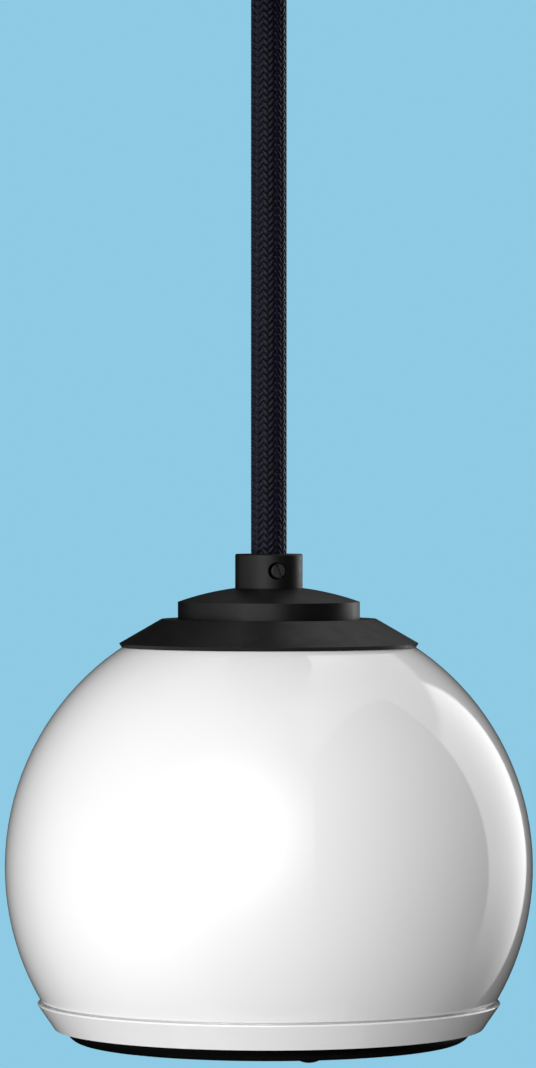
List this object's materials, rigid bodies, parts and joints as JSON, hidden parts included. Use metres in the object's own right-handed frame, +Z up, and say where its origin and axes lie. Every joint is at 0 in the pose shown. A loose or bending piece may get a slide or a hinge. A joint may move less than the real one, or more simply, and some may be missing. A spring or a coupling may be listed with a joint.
{
  "type": "pendant speaker",
  "caption": "Round gloss white pendant speaker with a downward firing driver behind a black grille, hung by a textile cord from a ceiling cup.",
  "frame": {"origin": "centre of the ceiling bracket's top face, where the pendant is screwed to the ceiling", "axes": "+Z up to the ceiling along the cord, -Y towards the viewer of the picture, the ball hangs at -Z"},
  "size_m": [0.102, 0.102, 0.2405],
  "materials": {
    "gloss_white": "high gloss white paint with a clear coat",
    "satin_black": "satin black, fine moulded grain",
    "black_metal": "black powder coat, fine texture",
    "zinc_steel": "bright zinc plate",
    "basket_black": "black paint on pressed steel",
    "ferrite": "matte grey black ferrite",
    "paper_black": "matte black paper pulp",
    "soft_rubber": "smooth butyl rubber",
    "textile_cord": "braided blue black textile",
    "felt": "loose off white felt",
    "spider_cloth": "resin treated woven cloth",
    "copper": "enamelled copper",
    "tab_brass": "tinned brass",
    "lead_red": "smooth red insulation",
    "lead_black": "smooth black insulation",
    "nylon_white": "natural nylon",
    "strip_brown": "hard paper laminate",
    "foam_black": "open cell foam",
    "former_film": "amber film"
  },
  "bodies": {
    "frame": {"ball_shell": "gloss_white", "trim_ring": "gloss_white", "grille": "black_metal", "grille_stud": "black_metal", "collar": "satin_black", "cap": "satin_black", "cord_grip": "satin_black", "grip_screw": "black_metal", "threaded_tube": "zinc_steel", "clamp_plate": "zinc_steel", "tube_washer": "zinc_steel", "tube_nut": "zinc_steel", "cord_stop": "nylon_white", "cord_stop_screw": "zinc_steel", "wadding": "felt", "frame_gasket": "foam_black", "driver_screw_set": "zinc_steel", "driver_basket": "basket_black", "terminal_strip": "strip_brown", "terminal_tabs": "tab_brass", "tinsel_leads": "copper", "front_plate": "zinc_steel", "magnet": "ferrite", "back_plate": "zinc_steel", "spider": "spider_cloth", "surround": "soft_rubber", "inner_lead_red": "lead_red", "inner_lead_black": "lead_black", "cord": "textile_cord", "ceiling_cup": "satin_black", "ceiling_bracket": "zinc_steel", "cup_side_screws": "zinc_steel", "cup_grip": "satin_black", "cup_grip_screw": "black_metal", "cup_tube": "zinc_steel", "cup_nut": "zinc_steel", "terminal_block": "nylon_white", "block_screw": "zinc_steel", "block_clamp_screws": "tab_brass", "cup_leads": "lead_red"},
    "moving_coil": {"cone": "paper_black", "dust_cap": "paper_black", "coil_former": "former_film", "voice_coil": "copper"}
  },
  "joints": [
    {"name": "cone_travel", "type": "slide", "parent": "frame", "child": "moving_coil", "axis": [0, 0, 1], "range_m": [-0.002, 0.002], "stiffness_N_per_m": 1000, "deforming": ["surround", "spider", "tinsel_leads"]}
  ]
}
